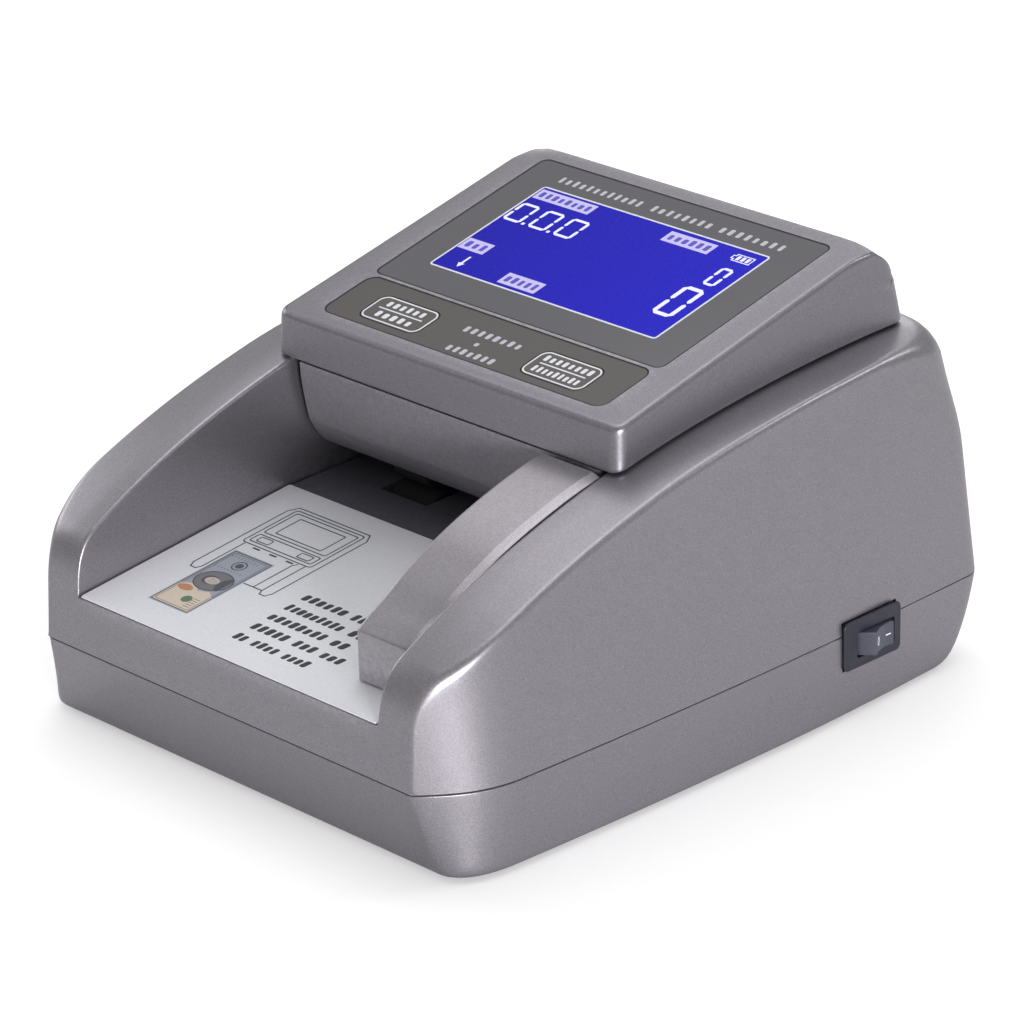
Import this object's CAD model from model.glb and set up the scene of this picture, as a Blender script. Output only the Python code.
# Looks of a compact banknote detector and counter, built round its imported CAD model.
# Shapes are in millimetres: X = 0 is the mirror plane and +X the right seen from the front,
# +Y the rear, +Z up. WORLD turns them into the scene's metres. The tray slopes up from the
# front; the hinged head with display and keys stands over the rear of the body.
import math
import random
from bisect import bisect_right
from functools import cached_property

import bmesh
import bpy
from mathutils import Matrix, Vector


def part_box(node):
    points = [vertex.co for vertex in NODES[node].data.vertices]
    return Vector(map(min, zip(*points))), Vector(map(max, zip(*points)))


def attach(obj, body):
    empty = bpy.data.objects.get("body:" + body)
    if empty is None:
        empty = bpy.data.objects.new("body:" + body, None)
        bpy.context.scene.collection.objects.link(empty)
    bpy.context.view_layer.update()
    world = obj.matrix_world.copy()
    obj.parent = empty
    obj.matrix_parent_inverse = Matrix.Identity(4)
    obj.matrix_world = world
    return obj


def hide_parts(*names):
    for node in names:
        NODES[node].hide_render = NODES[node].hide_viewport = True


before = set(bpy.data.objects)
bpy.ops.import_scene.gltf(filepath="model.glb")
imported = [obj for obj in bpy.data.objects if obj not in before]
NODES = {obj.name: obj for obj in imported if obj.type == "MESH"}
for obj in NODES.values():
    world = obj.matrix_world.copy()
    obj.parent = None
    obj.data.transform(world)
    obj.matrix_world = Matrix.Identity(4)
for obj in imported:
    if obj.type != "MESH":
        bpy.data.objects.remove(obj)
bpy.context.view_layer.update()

ORIGIN_X = 1.4
WORLD = Matrix.Translation((-ORIGIN_X * 0.001, 0, 0)) @ Matrix.Scale(0.001, 4)

# ------------------------------------------------------------------ driving dimensions, mm
GAP = 0.3                                   # clearance between neighbouring parts
FRONT_Y, REAR_Y, HALF_W = -75.0, 75.0, 62.5
BASE_Z, SEAM_Z = 1.0, 18.4
SEAM_TOP, SEAM_LOW = SEAM_Z + GAP / 2, SEAM_Z - GAP / 2
CREASE_X = 51.6                             # vertical crease between front face and corner
DRAFT_FRONT, DRAFT_SIDE, DRAFT_REAR = 0.060, 0.103, 0.054    # lean per mm of height
CROWN = 0.07                                # fall of the wall's top per mm of width
CHIN = 4.5                                  # how far the front draws back below the seam
CORNER_R = 6.0

TRAY_HW, TRAY_LEAN, TRAY_Z0, TRAY_SLOPE = 42.4, 0.057, 29.2, 0.12
LABEL_BACK, CHANNEL_END = -19.0, 64.0       # rear ends of the tray label and of the channel
CHANNEL_ROUND = 0.8                         # rounding along the channel's upper edge

TILT = math.atan2(0.2358, 1.0)              # slope of the head's roof
HEAD_D, HEAD_HW = 38.04, 47.0
HINGE_Y, HINGE_Z = 67.5, 68.0
LUGS = ((-42.0, -34.6), (34.6, 42.0))       # x spans of the slots for the hinge arms
ARMS = ((35.0, 39.6), (-39.6, -35.0))       # x spans of the hinge arms

# Boxes on the roof plane: x from, x to, distance up the plane from, to
WINDOW_BOX = (-39.5, 39.5, 89.86, 139.6)
PANEL_BOX = (-38.8, 38.8, 74.05, 88.5)
LCD_HW, LCD_V0, LCD_V1 = 31.0, 97.24, 130.85
KEY_X, KEY_V, KEY_W, KEY_H = 22.5, 80.3, 16.6, 8.4

# Power switch on the right-hand wall; y from, y to, z from, z to
SWITCH_BOX = SWITCH_Y0, SWITCH_Y1, SWITCH_Z0, SWITCH_Z1 = 30.6, 46.4, 11.1, 20.8
SWITCH_X = 62.9
ROCKER_X, ROCKER_Y, ROCKER_Z = SWITCH_X - 2.5, SWITCH_Y0 + 8.8, SWITCH_Z0 + 4.5
ROCKER_TILT = math.radians(12.0)
DISH_REACH, DISH_RISE, DISH_HALF = 3.65, 0.75, 3.3    # the rocker's dished face

# x, y of the screws and feet, and the battery door's box
FEET = ((-46.0, -57.0), (46.0, -57.0), (-42.0, 60.0), (42.0, 60.0))
SCREWS = ((-35.0, -60.5), (35.0, -60.5), (-53.5, 57.0), (53.5, 57.0))
DOOR_X0, DOOR_X1, DOOR_Y0, DOOR_Y1 = -26.0, 26.0, -4.0, 44.0

# Planes that outlines are drawn on: x to the right, y up the slope
HEAD_PLANE = (Matrix.Translation((0, FRONT_Y, SEAM_Z)) @ Matrix.Rotation(TILT, 4, "X")
              @ Matrix.Translation((0, 0, HEAD_D)))
TRAY_ANGLE = math.atan(TRAY_SLOPE)
LABEL_PLANE = Matrix.Translation((0, FRONT_Y, TRAY_Z0)) @ Matrix.Rotation(TRAY_ANGLE, 4, "X")
LABEL_TOP = 0.42
# Outline drawn in y and z, thickness along x
YZ = Matrix(((0, 0, 1, 0), (1, 0, 0, 0), (0, 1, 0, 0), (0, 0, 0, 1)))


# ------------------------------------------------------------------ materials
def srgb(*rgb):
    """Linear colour of 0-255 display values."""
    def linear(value):
        value /= 255.0
        return value / 12.92 if value <= 0.04045 else ((value + 0.055) / 1.055) ** 2.4
    return tuple(linear(value) for value in rgb)


def tint(rgb, factor, plus=0.0):
    return tuple(min(1.0, c * factor + plus) for c in rgb)


class Shader:
    """A new material, with short ways to add and wire its nodes."""

    def __init__(self, name):
        self.material = bpy.data.materials.new(name)
        self.material.use_nodes = True
        self.tree = self.material.node_tree
        self.surface = self.tree.nodes["Principled BSDF"]
        self.coords = self.add("ShaderNodeTexCoord").outputs["Object"]

    @cached_property
    def geometry(self):
        return self.add("ShaderNodeNewGeometry").outputs

    def feed(self, socket, value):
        """Gives a socket a number, a colour or another node's output."""
        if socket.type == "RGBA" and isinstance(value, tuple):
            value = (*value, 1.0)
        if isinstance(value, (int, float, tuple)):
            socket.default_value = value
        else:
            self.tree.links.new(value, socket)

    def add(self, kind, **values):
        return self.set(self.tree.nodes.new(kind), **values)

    def set(self, node, **values):
        """Sets inputs, named with underscores for spaces, and plain properties."""
        for key, value in values.items():
            label = key.replace("_", " ")
            if label in node.inputs.keys():
                self.feed(node.inputs[label], value)
            else:
                setattr(node, key, value)
        return node

    def noise(self, scale, detail=2.0, roughness=0.5, stretch=None):
        source = self.coords
        if stretch:
            source = self.add("ShaderNodeMapping", Scale=stretch, Vector=source).outputs["Vector"]
        return self.add("ShaderNodeTexNoise", Scale=scale, Detail=detail, Roughness=roughness,
                        Vector=source).outputs["Fac"]

    def ramp(self, source, *stops):
        node = self.add("ShaderNodeValToRGB", Fac=source)
        elements = node.color_ramp.elements
        for _ in range(len(stops) - 2):
            elements.new(0.5)
        for element, (position, colour) in zip(elements, stops):
            element.position = position
            element.color = (*colour, 1.0)
        return node.outputs["Color"]

    def speckle(self, source, rgb, dark, light, edge=0.3):
        """A colour that runs between a darker and a lighter tint of itself."""
        return self.ramp(source, (edge, tint(rgb, dark)), (1 - edge, tint(rgb, light)))

    def maths(self, operation, *values, clamp=False):
        node = self.add("ShaderNodeMath", operation=operation, use_clamp=clamp)
        for socket, value in zip(node.inputs, values):
            self.feed(socket, value)
        return node.outputs[0]

    def scale(self, value, by, plus=None, clamp=False):
        if plus is None:
            return self.maths("MULTIPLY", value, by, clamp=clamp)
        return self.maths("MULTIPLY_ADD", value, by, plus, clamp=clamp)

    def mix(self, share, first, second):
        node = self.add("ShaderNodeMix", data_type="RGBA")
        for index, value in ((0, share), (6, first), (7, second)):
            self.feed(node.inputs[index], value)
        return node.outputs[2]

    def edges(self):
        """1 on worn convex edges, from the surface's pointiness, broken up by noise."""
        convex = self.maths("SUBTRACT", self.geometry["Pointiness"], 0.5)
        convex = self.scale(convex, by=9.0, clamp=True)
        patches = self.scale(self.noise(scale=900, detail=3), by=1.6, plus=-0.35, clamp=True)
        return self.scale(convex, by=patches, clamp=True)

    def above(self, low, high):
        """0 below height low and 1 above high, in metres."""
        parts = self.add("ShaderNodeSeparateXYZ", Vector=self.geometry["Position"])
        return self.scale(parts.outputs["Z"], by=1 / (high - low), plus=-low / (high - low),
                          clamp=True)

    def finish(self, **values):
        self.set(self.surface, **values)
        return self.material

    def bump(self, height, strength, depth):
        node = self.add("ShaderNodeBump", Strength=strength, Distance=depth, Height=height)
        self.finish(Normal=node.outputs["Normal"])


def paint(name, rgb, metal=0.82, rough=0.36):
    """Satin metallic paint over a fine moulded texture."""
    s = Shader(name)
    colour = s.speckle(s.noise(scale=3600, detail=2.5, roughness=0.7), rgb, dark=0.78, light=1.22)
    clouds = s.scale(s.noise(scale=60, detail=3), by=0.16)
    colour = s.mix(clouds, colour, tint(rgb, 0.80))
    worn = s.scale(s.edges(), by=s.above(low=0.021, high=0.028))
    colour = s.mix(s.scale(worn, by=0.75), colour, tint(rgb, 2.4))
    dull = s.scale(s.noise(scale=2600), by=0.16, plus=rough - 0.08)
    dull = s.scale(worn, by=-0.10, plus=dull)
    s.bump(s.noise(scale=4200), strength=0.22, depth=0.00006)
    return s.finish(Base_Color=colour, Metallic=metal, Roughness=dull, Specular_IOR_Level=0.5)


def plastic(name, rgb, rough, grain=3800, bump=0.25, spread=0.12):
    """Moulded plastic, a little lighter on its edges."""
    s = Shader(name)
    colour = s.speckle(s.noise(scale=grain), rgb, dark=1 - spread, light=1 + spread)
    colour = s.mix(s.scale(s.edges(), by=0.5), colour, tint(rgb, 1.9, plus=0.01))
    dull = s.scale(s.noise(scale=grain * 0.5), by=0.2, plus=rough - 0.1)
    s.bump(s.noise(scale=grain), strength=bump, depth=0.00005)
    return s.finish(Base_Color=colour, Roughness=dull)


def gloss(name, rgb, rough, coat, dust=0.06):
    """Smooth film or glass-like sheet with faint dust and handling marks."""
    s = Shader(name)
    haze = s.scale(s.noise(scale=140, detail=4, roughness=0.6), by=0.18)
    colour = s.mix(haze, rgb, tint(rgb, 1.18, plus=0.003))
    smears = s.noise(scale=700, detail=4, roughness=0.7)
    s.bump(s.noise(scale=900), strength=0.03, depth=0.00003)
    return s.finish(Base_Color=colour, Roughness=s.scale(smears, by=dust * 2, plus=rough - dust),
                    Coat_Weight=coat, Coat_Roughness=0.05)


def metal(name, rgb, rough, brushed=(1, 1, 1)):
    """Bare metal; brushed stretches its grain."""
    s = Shader(name)
    grain = s.noise(scale=900, detail=3, roughness=0.6, stretch=brushed)
    s.bump(grain, strength=0.12, depth=0.00003)
    return s.finish(Base_Color=s.speckle(grain, rgb, dark=0.82, light=1.12, edge=0.25),
                    Metallic=1.0, Roughness=s.scale(grain, by=0.25, plus=rough - 0.1))


def flat(name, rgb, rough, glow=0.0):
    """Even ink, self-lit if it has a glow."""
    s = Shader(name)
    colour = s.speckle(s.noise(scale=2600), rgb, dark=0.95, light=1.04)
    s.finish(Base_Color=colour, Roughness=rough)
    if glow:
        s.finish(Emission_Color=colour, Emission_Strength=glow)
    s.bump(s.noise(scale=1800), strength=0.04, depth=0.00002)
    return s.material


def circuit_board():
    """Solder-masked board: faint copper runs under the green."""
    s = Shader("circuit_board")
    runs = s.add("ShaderNodeTexBrick", Scale=260, Mortar_Size=0.06, Vector=s.coords).outputs["Fac"]
    s.bump(runs, strength=0.2, depth=0.00004)
    return s.finish(Base_Color=s.mix(runs, srgb(18, 84, 44), srgb(40, 128, 66)), Roughness=0.35)


def lcd_field():
    """Back-lit blue field, brighter towards its right."""
    s = Shader("lcd_field")
    parts = s.add("ShaderNodeSeparateXYZ", Vector=s.coords)
    along_x = s.scale(parts.outputs["X"], by=9.0, plus=0.35, clamp=True)
    cells = s.add("ShaderNodeTexVoronoi", Scale=2400, Vector=s.coords).outputs["Distance"]
    colour = s.ramp(along_x, (0.0, srgb(14, 8, 170)), (0.6, srgb(18, 12, 196)),
                    (1.0, srgb(22, 44, 228)))
    colour = s.mix(s.scale(cells, by=0.12), colour, srgb(26, 22, 140))
    return s.finish(Base_Color=srgb(6, 5, 30), Roughness=s.scale(cells, by=0.1, plus=0.24),
                    Specular_IOR_Level=0.09, Emission_Color=colour, Emission_Strength=0.97)


def label_card():
    """Printed satin card: fibre speckle under a thin film."""
    s = Shader("label_card")
    fibres = s.noise(scale=1500, detail=4, roughness=0.7, stretch=(1.0, 3.0, 1.0))
    dull = s.scale(s.noise(scale=500, detail=3), by=0.2, plus=0.32)
    s.bump(fibres, strength=0.06, depth=0.00003)
    return s.finish(Base_Color=s.ramp(fibres, (0.3, srgb(222, 223, 229)),
                                      (0.7, srgb(238, 239, 244))),
                    Roughness=dull, Coat_Weight=0.15)


def floor_white():
    """White floor, lifted where the camera sees it and more so far from the machine."""
    s = Shader("floor_white")
    colour = s.ramp(s.noise(scale=4), (0.3, (0.86, 0.86, 0.865)), (0.7, (0.89, 0.89, 0.892)))
    distance = s.add("ShaderNodeVectorMath", operation="LENGTH", Vector=s.coords)
    rise = s.add("ShaderNodeMapRange", interpolation_type="SMOOTHSTEP",
                 Value=distance.outputs["Value"], From_Min=0.35, From_Max=1.6,
                 To_Min=0.36, To_Max=0.85)
    seen = s.add("ShaderNodeLightPath").outputs["Is Camera Ray"]
    return s.finish(Base_Color=colour, Roughness=0.85, Specular_IOR_Level=0.1,
                    Emission_Color=(1.0, 1.0, 1.0),
                    Emission_Strength=s.scale(seen, by=rise.outputs[0]))


BODY = paint("body_metallic_taupe", srgb(151, 147, 154))
HEAD = paint("head_metallic_taupe", srgb(137, 134, 141))
NOSE = paint("nose_metallic_dark", srgb(132, 129, 135), metal=0.45, rough=0.5)
GUIDE = paint("guide_metallic_taupe", srgb(160, 156, 162))
DECK = plastic("deck_dark_plastic", srgb(82, 82, 90), rough=0.42)
SENSOR = gloss("sensor_gloss_black", srgb(26, 26, 30), rough=0.16, coat=0.5)
RUBBER = plastic("rubber_black", srgb(26, 26, 27), rough=0.8, grain=2200, bump=0.5)
STEEL = metal("turned_steel", srgb(196, 196, 198), rough=0.24, brushed=(1, 12, 12))
ZINC = metal("zinc_plate", srgb(176, 176, 170), rough=0.36)
BRONZE = metal("bronze", srgb(176, 132, 82), rough=0.36)
MOTOR = metal("motor_can", srgb(170, 170, 174), rough=0.32, brushed=(14, 1, 1))
ACETAL = plastic("acetal_white", srgb(214, 211, 200), rough=0.45, grain=2600, bump=0.12,
                 spread=0.04)
BOARD = circuit_board()
BATTERY = gloss("battery_wrap", srgb(34, 70, 130), rough=0.34, coat=0.2)
SWITCH = plastic("switch_slate", srgb(33, 34, 46), rough=0.42)
ROCKER = plastic("rocker_slate", srgb(70, 71, 84), rough=0.36)
WINDOW = gloss("window_grey_gloss", srgb(94, 94, 99), rough=0.13, coat=0.5)
BLACK = plastic("black_line", srgb(14, 14, 16), rough=0.5)
PANEL = gloss("panel_brown_grey", srgb(76, 71, 70), rough=0.34, coat=0.12, dust=0.08)
KEY = gloss("key_brown_grey", srgb(78, 73, 72), rough=0.33, coat=0.12, dust=0.08)
WHITE = plastic("print_white", srgb(228, 228, 238), rough=0.45, grain=3000, bump=0.08, spread=0.03)
INK = plastic("print_ink", srgb(38, 38, 44), rough=0.55, grain=3000, bump=0.08, spread=0.08)
LCD = lcd_field()
LABEL = label_card()
SEGMENT = flat("lcd_bright_segment", srgb(216, 216, 250), rough=0.25, glow=0.42)
TAG = flat("lcd_bright_tag", srgb(182, 176, 222), rough=0.25, glow=0.35)
TAG_MARK = flat("lcd_tag_mark", srgb(74, 66, 176), rough=0.25, glow=0.3)
NOTE_PAPER = flat("note_paper", srgb(166, 172, 184), rough=0.45)
NOTE_CREAM = flat("note_cream", srgb(220, 206, 188), rough=0.45)
NOTE_INK = flat("note_ink", srgb(78, 84, 92), rough=0.5)
NOTE_MID = flat("note_mid_tone", srgb(122, 120, 126), rough=0.5)
NOTE_RUST = flat("note_rust", srgb(196, 138, 104), rough=0.45)
NOTE_SEAL = flat("note_green_seal", srgb(96, 124, 104), rough=0.45)
NOTE_FACE = flat("note_face", srgb(196, 188, 176), rough=0.5)
DIAGRAM = flat("diagram_line", srgb(66, 68, 78), rough=0.5)
LETTERING = flat("window_lettering_grey", srgb(196, 196, 204), rough=0.45)

# ------------------------------------------------------------------ looks of the CAD pieces
SKINS = {name: material for material, names in (
    (BODY, "bottom_shell top_shell battery_door"), (HEAD, "head_cover"), (NOSE, "head_chassis"),
    (GUIDE, "note_guide"), (LABEL, "tray_label"), (WINDOW, "display_window"),
    (SENSOR, "lcd_module buzzer lower_sensor_bar upper_sensor_bar"), (PANEL, "key_overlay"),
    (KEY, "key_left key_right"), (SWITCH, "switch_housing dc_jack"), (ROCKER, "power_rocker"),
    (BATTERY, "battery_pack"), (STEEL, "data_port motor_pinion idler_stud"),
    (BOARD, "display_board main_board"), (MOTOR, "motor")) for name in names.split()}


def skin_of(name):
    if "roller" in name or name.startswith("foot_") or name[-8:-1] == "_pinch_":
        return RUBBER
    if name.endswith("_shaft") or name.startswith("hinge_pin"):
        return STEEL
    if "_bush_" in name:
        return BRONZE
    if name.endswith("_gear"):
        return ACETAL
    if name.startswith("screw_"):
        return ZINC
    return SKINS.get(name, DECK)


def soft_edges():
    """Node group that welds coincident points and shades smoothly up to 32 degrees."""
    group = bpy.data.node_groups.new("soft_edges", "GeometryNodeTree")
    for way in ("INPUT", "OUTPUT"):
        group.interface.new_socket("Geometry", in_out=way, socket_type="NodeSocketGeometry")
    new = group.nodes.new
    start, end = new("NodeGroupInput"), new("NodeGroupOutput")
    weld = new("GeometryNodeMergeByDistance")
    weld.inputs["Distance"].default_value = 2e-6
    faces = new("GeometryNodeSetShadeSmooth")
    edges = new("GeometryNodeSetShadeSmooth")
    edges.domain = "EDGE"
    edges.inputs["Shade Smooth"].default_value = False
    angle = new("GeometryNodeInputMeshEdgeAngle")
    sharp = new("FunctionNodeCompare")
    sharp.data_type, sharp.operation = "FLOAT", "GREATER_THAN"
    sharp.inputs[1].default_value = math.radians(32)
    for output, socket in ((start.outputs[0], weld.inputs["Geometry"]),
                           (weld.outputs[0], faces.inputs["Geometry"]),
                           (faces.outputs[0], edges.inputs["Geometry"]),
                           (angle.outputs["Unsigned Angle"], sharp.inputs[0]),
                           (sharp.outputs[0], edges.inputs["Selection"]),
                           (edges.outputs[0], end.inputs[0])):
        group.links.new(output, socket)
    return group


def dress_cad():
    """Gives every CAD piece its material, soft shading and a small edge break."""
    group = soft_edges()
    for name, ob in NODES.items():
        ob.data.materials.clear()
        ob.data.materials.append(skin_of(name))
        low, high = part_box(name)
        ob.modifiers.new("soft_edges", "NODES").node_group = group
        edge = ob.modifiers.new("edge_break", "BEVEL")
        edge.width = min(0.00035, 0.05 * min(high[k] - low[k] for k in range(3)))
        edge.segments = 2
        edge.limit_method = "ANGLE"
        edge.angle_limit = math.radians(34)
        edge.harden_normals = True


# ------------------------------------------------------------------ mesh helpers
def new_object(name, bm):
    mesh = bpy.data.meshes.new(name)
    bm.to_mesh(mesh)
    bm.free()
    ob = bpy.data.objects.new(name, mesh)
    bpy.context.scene.collection.objects.link(ob)
    return ob


def solid(name, bm):
    """An object still in millimetres, its faces turned outwards."""
    bmesh.ops.recalc_face_normals(bm, faces=bm.faces)
    return new_object(name, bm)


def applied(ob):
    """Freezes an object's modifiers into its mesh."""
    bpy.context.view_layer.update()
    graph = bpy.context.evaluated_depsgraph_get()
    mesh = bpy.data.meshes.new_from_object(ob.evaluated_get(graph))
    old = ob.data
    ob.modifiers.clear()
    ob.data = mesh
    bpy.data.meshes.remove(old)


def boolean(ob, tools, operation="DIFFERENCE", self_cross=False):
    """Applies one Boolean for each tool, given as a bmesh."""
    for bm in tools:
        tool = solid("tool", bm)
        mod = ob.modifiers.new("boolean", "BOOLEAN")
        mod.operation = operation
        mod.solver = "EXACT"
        mod.use_self = self_cross
        mod.object = tool
        applied(ob)
        bpy.data.objects.remove(tool, do_unlink=True)


def thicken(ob, thickness):
    """Turns a skin's top upwards and gives it thickness inwards."""
    if max(ob.data.polygons, key=lambda p: p.center.z).normal.z < 0:
        ob.data.flip_normals()
    mod = ob.modifiers.new("Solidify", "SOLIDIFY")
    mod.thickness = thickness
    mod.offset = -1.0
    mod.use_even_offset = False
    applied(ob)


def bevel(ob, width, segments, angle):
    mod = ob.modifiers.new("Bevel", "BEVEL")
    mod.width = width
    mod.segments = segments
    mod.limit_method = "ANGLE"
    mod.angle_limit = math.radians(angle)
    applied(ob)


def register(ob, material, body, sharp):
    ob.data.materials.append(material)
    ob.data.shade_smooth()
    ob.data.set_sharp_from_angle(angle=math.radians(sharp))
    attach(ob, body)


def finish(ob, material, body, sharp=32):
    """Finishes a millimetre object; one named *_visual stands in for the piece of that name."""
    ob.data.transform(WORLD)
    ob.data.materials.clear()
    for polygon in ob.data.polygons:
        polygon.material_index = 0
    register(ob, material, body, sharp)
    mod = ob.modifiers.new("WeightedNormal", "WEIGHTED_NORMAL")
    mod.keep_sharp = True
    mod.weight = 60
    piece = ob.name.removesuffix("_visual")
    if piece != ob.name:
        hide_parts(piece)


def skin(bm, rows, around=False):
    """Faces between successive rows of vertices; around closes each row on itself."""
    for a, b in zip(rows, rows[1:]):
        for i in range(len(a) if around else len(a) - 1):
            j = (i + 1) % len(a)
            bm.faces.new((a[i], a[j], b[j], b[i]))


def strip(bm, rows):
    skin(bm, [[bm.verts.new(p) for p in row] for row in rows])


def loft(rings, closed=False):
    """Tube through closed rings: capped, or closed from the last ring back to the first."""
    bm = bmesh.new()
    rows = [[bm.verts.new(p) for p in ring] for ring in rings]
    skin(bm, rows + rows[:1] if closed else rows, around=True)
    if not closed:
        bm.faces.new(rows[0][::-1])
        bm.faces.new(rows[-1])
    return bm


def rounded(x0, x1, y0, y1, r, n=8):
    """Counter-clockwise box outline with corner arcs of n steps."""
    points = []
    for cx, cy, start in ((x1 - r, y0 + r, -90), (x1 - r, y1 - r, 0),
                          (x0 + r, y1 - r, 90), (x0 + r, y0 + r, 180)):
        for i in range(n + 1):
            a = math.radians(start + 90 * i / n)
            points.append((cx + r * math.cos(a), cy + r * math.sin(a)))
    return points


def grown(box, by, r, n=8):
    """Rounded outline of a box moved outwards on all sides."""
    x0, x1, y0, y1 = box
    return rounded(x0 - by, x1 + by, y0 - by, y1 + by, r, n)


def key_box(side):
    return (side * KEY_X - KEY_W / 2, side * KEY_X + KEY_W / 2,
            KEY_V - KEY_H / 2, KEY_V + KEY_H / 2)


def inset_loop(points, distance):
    """Moves a closed counter-clockwise outline inwards."""
    moved = []
    for i, (x, y) in enumerate(points):
        (ax, ay), (bx, by) = points[i - 1], points[(i + 1) % len(points)]
        e1 = Vector((x - ax, y - ay)).normalized()
        e2 = Vector((bx - x, by - y)).normalized()
        m = Vector((-e1.y - e2.y, e1.x + e2.x)).normalized()
        k = distance / max(0.5, m.dot(Vector((-e1.y, e1.x))))
        moved.append((x + m.x * k, y + m.y * k))
    return moved


def slab(outline, low, high, edge=0.0, steps=3, place=Matrix()):
    """Plate of an outline between two levels, its rims rounded by edge."""
    levels = [(0.0, low), (0.0, high)]
    if edge > 0:
        angles = [math.pi / 2 * i / steps for i in range(steps + 1)]
        levels = [(edge * (1 - math.sin(a)), low + edge * (1 - math.cos(a))) for a in angles]
        levels += [(edge * (1 - math.cos(a)), high - edge * (1 - math.sin(a))) for a in angles]
    bm = loft([[(x, y, z) for x, y in (inset_loop(outline, inset) if inset > 1e-6 else outline)]
               for inset, z in levels])
    bmesh.ops.transform(bm, matrix=place, verts=bm.verts)
    return bm


def block(x0, x1, y0, y1, z0, z1):
    bm = bmesh.new()
    bmesh.ops.create_cube(bm, size=1.0)
    place = (Matrix.Translation(((x0 + x1) / 2, (y0 + y1) / 2, (z0 + z1) / 2))
             @ Matrix.Diagonal((x1 - x0, y1 - y0, z1 - z0, 1.0)))
    bmesh.ops.transform(bm, matrix=place, verts=bm.verts)
    return bm


def rod(r, start, end, centre, axis="X", segs=48):
    """Cylinder along X or Z; centre is its place on the other two axes."""
    bm = bmesh.new()
    bmesh.ops.create_cone(bm, cap_ends=True, segments=segs, radius1=r, radius2=r,
                          depth=end - start)
    middle = (start + end) / 2
    if axis == "X":
        place = Matrix.Translation((middle, *centre)) @ Matrix.Rotation(math.pi / 2, 4, "Y")
    else:
        place = Matrix.Translation((*centre, middle))
    bmesh.ops.transform(bm, matrix=place, verts=bm.verts)
    return bm


def cubic(p0, p1, p2, p3, t):
    """Point of a cubic Bezier curve."""
    u = 1 - t
    return tuple(u ** 3 * a + 3 * u * u * t * b + 3 * u * t * t * c + t ** 3 * d
                 for a, b, c, d in zip(p0, p1, p2, p3))


def fillet(start, corner, end, n):
    """Points from start to end, rounded towards the corner."""
    points = []
    for i in range(n + 1):
        t = i / n
        u = 1 - t
        points.append(tuple(u * u * a + 2 * u * t * c + t * t * b
                            for a, c, b in zip(start, corner, end)))
    return points


def fillet_vector(start, corner, end, t):
    return start * (1 - t) ** 2 + corner * 2 * t * (1 - t) + end * t * t


def smooth(t):
    t = min(max(t, 0.0), 1.0)
    return t * t * (3 - 2 * t)


def segment_at(points, y):
    return bisect_right(points, y, key=lambda p: p[0]) - 1


def along(points, y):
    """Height at y on a line through (y, z) points, level beyond its ends."""
    if y <= points[0][0]:
        return points[0][1]
    if y >= points[-1][0]:
        return points[-1][1]
    k = segment_at(points, y)
    (ya, za), (yb, zb) = points[k], points[k + 1]
    return za + (zb - za) * (y - ya) / (yb - ya)


def meet(low, high, steps, below):
    """Height, found by halving, up to which below(z) holds."""
    for _ in range(steps):
        z = (low + high) / 2
        if below(z):
            low = z
        else:
            high = z
    return (low + high) / 2


# ------------------------------------------------------------------ body outline and top profile
# Stations along the side; the label's end and the switch's sides get their own
SIDE_Y = sorted([-49.0 + 3.4 * i for i in range(23) if i != 9]
                + [LABEL_BACK - 0.2, SWITCH_Y0 - GAP, SWITCH_Y1 + GAP])
REAR_ARC = 14

# Side view of the wall's top: cubic curves of (y behind the front, z above the seam)
TOP_CURVES = (((0.6, 10.4), (0.9, 17.8), (2.7, 21.8), (7.05, 23.97)),
              ((7.05, 23.97), (17.8, 30.1), (34.1, 37.25), (55.9, 42.7)),
              ((55.9, 42.7), (74.2, 47.8), (111.3, 51.8), (141.0, 51.8)))
PROFILE = [(FRONT_Y + y, SEAM_Z + z) for y, z in
           [cubic(*c, i / 60) for c in TOP_CURVES for i in range(60)] + [TOP_CURVES[-1][-1]]]


def plan(z):
    """Outline measures at height z: front y, crease x, side x, rear y, corner radius, and
    the share of the way down from seam to base."""
    dz = z - SEAM_Z
    up = max(dz, 0.0)
    down = min(max(-dz / (SEAM_Z - BASE_Z), 0.0), 1.0)
    rear = REAR_Y - DRAFT_REAR * up
    if down > 0:
        rear -= 7.0 * (1 - math.sqrt(max(0.0, 1 - down ** 2)))
    # the corners open out below the seam and again near the top
    radius = (CORNER_R + 4.5 * down + 6.0 * smooth((up - 27.0) / 21.0)
              + 4.0 * min(max((up - 45.0) / 5.0, 0.0), 1.0) ** 2)
    return (FRONT_Y + DRAFT_FRONT * up + CHIN * down, CREASE_X + 2.6 * down,
            HALF_W - DRAFT_SIDE * up + 0.3 * down, rear, radius, down)


def side_x(y, z):
    """The side bows out slightly; its lower rear draws in."""
    front, _, side, _, _, down = plan(z)
    return side - 1.3 * ((y - (front + 80.4)) / 61.0) ** 2 - 0.9 * down * max(
        0.0, (y - 12.0) / 50.0) ** 2


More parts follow.
